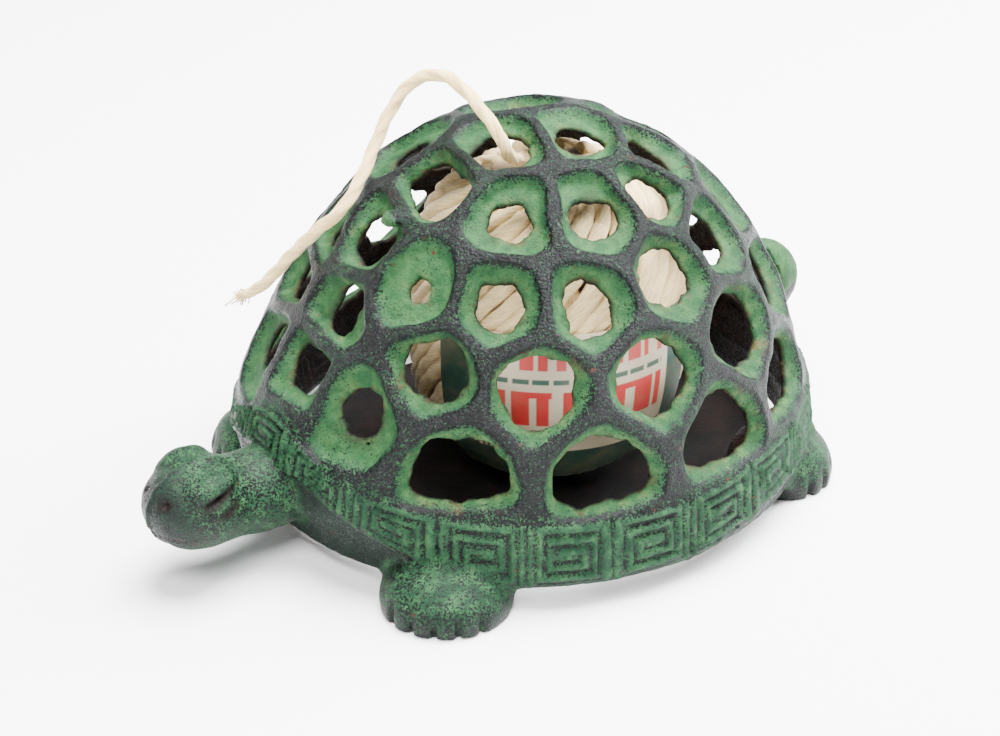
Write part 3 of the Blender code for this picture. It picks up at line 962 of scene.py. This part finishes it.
def strand_path(start, sweep, low, high, inset, count=64):
    """One winding from near the foot of the ball to near its eye, on its barrel."""
    t = np.linspace(0.0, 1.0, count)
    z = BALL_H / 2 - BALL_H / 2 * np.cos(math.pi * (low + (high - low) * t))
    r = barrel_radius(z) - inset
    angle = start + sweep * (t - 0.5)
    z = BALL_H / 2 + (z - BALL_H / 2) * (1 - inset / (BALL_H / 2))
    return np.stack([r * np.sin(angle), BALL_Y - r * np.cos(angle), z + BASE_T], axis=1)


def build_ball():
    """Two crossing layers of twisted windings."""
    rng = np.random.default_rng(11)
    tubes = []
    for count, sweep, inset, offset in WINDINGS:
        for k in range(count):
            start = 2 * math.pi * (k + offset) / count
            low, high = 0.13 + 0.02 * (k % 3), 0.90 - 0.035 * (k % 4)
            lift = inset + 0.35 * rng.uniform(-1, 1)
            path = strand_path(start, sweep + 0.06 * rng.uniform(-1, 1), low, high, lift)
            tubes.append(tube(path, STRAND_R, 10, 3, 0.10, 9.0, start=rng.uniform(0, 6)))
    windings = mesh_of_tubes("twine_windings", tubes)
    windings.data.materials.append(cotton("wound_cotton", rgb(252, 230, 174), rgb(216, 182, 124)))
    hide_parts("twine_ball")
    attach(windings, "ball")


def build_core():
    """A plain barrel just inside the windings, so that nothing shows between them; its cotton is a darker
    copy of the twine, painted shade between the windings.
    """
    around = 2 * math.pi * np.arange(CORE_SIDES) / CORE_SIDES
    rings = []
    for height in np.linspace(CORE_LOW, CORE_HIGH, CORE_RINGS):
        r = max(float(barrel_radius(height)) - CORE_INSET, CORE_LEAST)
        z = np.full(CORE_SIDES, height + BASE_T)
        rings.append(np.stack([r * np.sin(around), BALL_Y - r * np.cos(around), z], axis=1))
    points = np.concatenate(rings)
    a = np.arange(CORE_SIDES)
    b = (a + 1) % CORE_SIDES
    wall = np.stack([a, b, b + CORE_SIDES, a + CORE_SIDES], axis=1)
    faces = [a[::-1].tolist(), (a + CORE_SIDES * (CORE_RINGS - 1)).tolist()]
    for level in range(CORE_RINGS - 1):
        faces += (wall + level * CORE_SIDES).tolist()
    mesh = bpy.data.meshes.new("twine_core")
    mesh.from_pydata((points * MM).tolist(), [], faces)
    mesh.shade_smooth()
    core = bpy.data.objects.new("twine_core", mesh)
    bpy.context.scene.collection.objects.link(core)
    # painted shade: the same cotton made dark, as the shade in the gaps between the windings
    core.data.materials.append(cotton("inner_cotton_painted_shade", rgb(120, 100, 70), rgb(80, 62, 40)))
    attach(core, "ball")


def label_print(turn, z):
    """The label's print: cream paper, a dark green border, and plain bars in place of lettering."""
    green = np.array([0.020, 0.060, 0.040])
    cream = np.array([0.62, 0.53, 0.37])
    red = np.array([0.56, 0.030, 0.028])
    colour = np.tile(cream, (len(turn), 1))
    s = np.radians(turn) * BALL_R
    border = (turn > 108) | (z < 18.5) | (turn < 25)
    colour[border] = green
    inner = (turn > 30) & (turn < 104)
    rows = ((43.0, 51.0, 4.6, 3.0), (27.0, 37.0, 6.4, 4.3))
    for low, high, pitch, bar in rows:
        row = inner & (z > low) & (z < high)
        wide = bar + 1.6 * np.sin(np.floor(s / pitch) * 2.3)
        colour[row & ((s % pitch) < np.minimum(wide, pitch - 0.9))] = red
        colour[row & (np.abs(z - high + 0.8) < 0.8) & ((s % (2 * pitch)) < 1.6 * pitch)] = red
    line = inner & (z > 39.1) & (z < 40.7)
    colour[line & ((s % 5.0) > 0.9)] = green * 1.6
    ticks = (z > 18) & (z < 21) & (turn > 26) & (turn < 40)
    colour[ticks & ((s % 1.6) > 0.9)] = green
    return colour


def build_label():
    """A thin curved sheet, slightly cockled, a little outside the ball's waist."""
    turns = np.linspace(LABEL_MID - LABEL_HALF, LABEL_MID + LABEL_HALF, LABEL_ACROSS)
    heights = np.linspace(LABEL_Z[0], LABEL_Z[1], LABEL_UP)
    t, z = np.meshgrid(turns, heights, indexing="ij")
    t, z = t.ravel(), z.ravel()
    flat = np.stack([np.radians(t) * BALL_R, z, np.zeros(len(t))], axis=1)
    cockle = 0.22 * lumps(flat, 11.0, 1)
    layers = []
    for out in (LABEL_GAP + LABEL_T, LABEL_GAP):
        r = barrel_radius(z, LABEL_GAP) + out - LABEL_GAP + cockle
        a = np.radians(t)
        layers.append(np.stack([r * np.sin(a), BALL_Y - r * np.cos(a), z + BASE_T], axis=1))
    points = np.concatenate(layers)
    count = len(t)
    grid = np.arange(count).reshape(LABEL_ACROSS, LABEL_UP)
    quad = np.stack([grid[:-1, :-1], grid[1:, :-1], grid[1:, 1:], grid[:-1, 1:]], axis=-1).reshape(-1, 4)
    loop = np.concatenate([grid[:, 0], grid[-1, 1:], grid[::-1, -1][1:], grid[0, ::-1][1:-1]])
    nxt = np.roll(loop, -1)
    rim = np.stack([nxt, loop, loop + count, nxt + count], axis=1)
    faces = np.concatenate([quad, quad[:, ::-1] + count, rim])
    mesh = mesh_from("printed_label", points, faces)
    colour = np.ones((2 * count, 4), np.float32)
    colour[:count, :3] = label_print(t, z)
    colour[count:, :3] = (0.6, 0.5, 0.36)
    layer = mesh.color_attributes.new("print", "FLOAT_COLOR", "POINT")
    layer.data.foreach_set("color", colour.ravel())
    label = bpy.data.objects.new("printed_label", mesh)
    bpy.context.scene.collection.objects.link(label)
    s = Shader("printed_paper")
    aged = s.ramp(s.noise(8.0, 3.0, 0.6, 1.0), 0.35, 0.75, 0.0, 0.3)
    s.set("Base Color", s.mix(aged, s.colour_field("print"), rgb(150, 122, 84)))
    s.set("Roughness", 0.45)
    s.set("Normal", s.bump(s.noise(0.8, 3.0, 0.6, 2.0), 0.05, 0.5))
    mesh.materials.append(s.material)
    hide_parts("ball_label")
    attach(label, "ball")


def smooth_route(route, per_span=10):
    """A smooth curve through every point of the route."""
    knots = [2 * np.array(route[0]) - np.array(route[1])]
    knots += [np.array(p) for p in route]
    knots.append(2 * np.array(route[-1]) - np.array(route[-2]))
    fine = []
    for a, b, c, d in zip(knots, knots[1:], knots[2:], knots[3:]):
        for i in range(per_span):
            t = i / per_span
            bend = (c - a) * t + (2 * a - 5 * b + 4 * c - d) * t**2 + (3 * b - a - 3 * c + d) * t**3
            fine.append(b + bend / 2)
    fine.append(knots[-2])
    return np.array(fine)


def build_cord():
    """The free end: three strands laid together, a little loose, with frayed fibres at its tip."""
    path = smooth_route(CORD_ROUTE)
    steps = np.linalg.norm(np.diff(path, axis=0), axis=1)
    length = float(steps.sum())
    along = np.concatenate([[0.0], np.cumsum(steps)])
    taper = 1.0 - 0.25 * smoothstep(length - 12, length, along)
    body = tube(path, CORD_SLIM * CORD_D / 2, 18, 3, 0.16, 8.0, 0.0, taper)
    tubes = []
    rng = np.random.default_rng(5)
    tip = path[-1]
    way = path[-1] - path[-6]
    way = way / np.linalg.norm(way)
    for _ in range(FIBRES):
        spread = rng.normal(0, 0.32, 3)
        root = tip - way * rng.uniform(0.5, 4.0) + rng.normal(0, 0.5, 3)
        reach = rng.uniform(2.0, 4.6)
        t = np.linspace(0, 1, 6)[:, None]
        droop = np.array([0, 0, -1.0]) * rng.uniform(0.0, 1.4)
        fibre = root + t * reach * (way + spread) + t**2 * droop
        tubes.append(tube(fibre, rng.uniform(0.10, 0.2), 4, 2, 0.0))
    loose = cotton("loose_cotton", rgb(246, 218, 156), rgb(204, 170, 108))
    cord = mesh_of_tubes("twine_end", [body])
    fray = mesh_of_tubes("twine_frayed_tip", tubes)
    for piece in (cord, fray):
        piece.data.materials.append(loose)
        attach(piece, "turtle")
    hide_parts("twine_free_end")


def paint_base(frame):
    """The loose plate under the ball keeps its CAD shape; it is coloured near-black like rusty cast iron, as
    painted shade on the floor inside the shell.
    """
    s = Shader("dark_plate_painted_shade")
    patch = s.noise(9.0, 5.0, 0.7, 1.0)
    grain = s.noise(0.7, 3.0, 0.7, 2.0)
    # painted shade: near-black so the floor seen through the holes reads as deep shade
    colour = s.mix(s.ramp(patch, 0.38, 0.68), rgb(5, 5, 5), rgb(26, 13, 9))
    s.set("Base Color", s.mix(s.ramp(grain, 0.35, 0.75, 0.0, 0.5), colour, rgb(3, 3, 3)))
    s.set("Roughness", 0.85)
    s.set("Specular IOR Level", 0.25)
    s.set("Normal", s.bump(grain, 0.3, 0.8, s.bump(patch, 0.6, 0.5)))
    plate = frame["nodes"]["base_plate"]
    for place in plate.material_slots:
        place.material = s.material


def main():
    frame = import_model()
    add_camera()
    build_cord()
    build_ball()
    build_core()
    build_label()
    paint_base(frame)
    build_casting()
    add_floor()
    add_studio()


main()
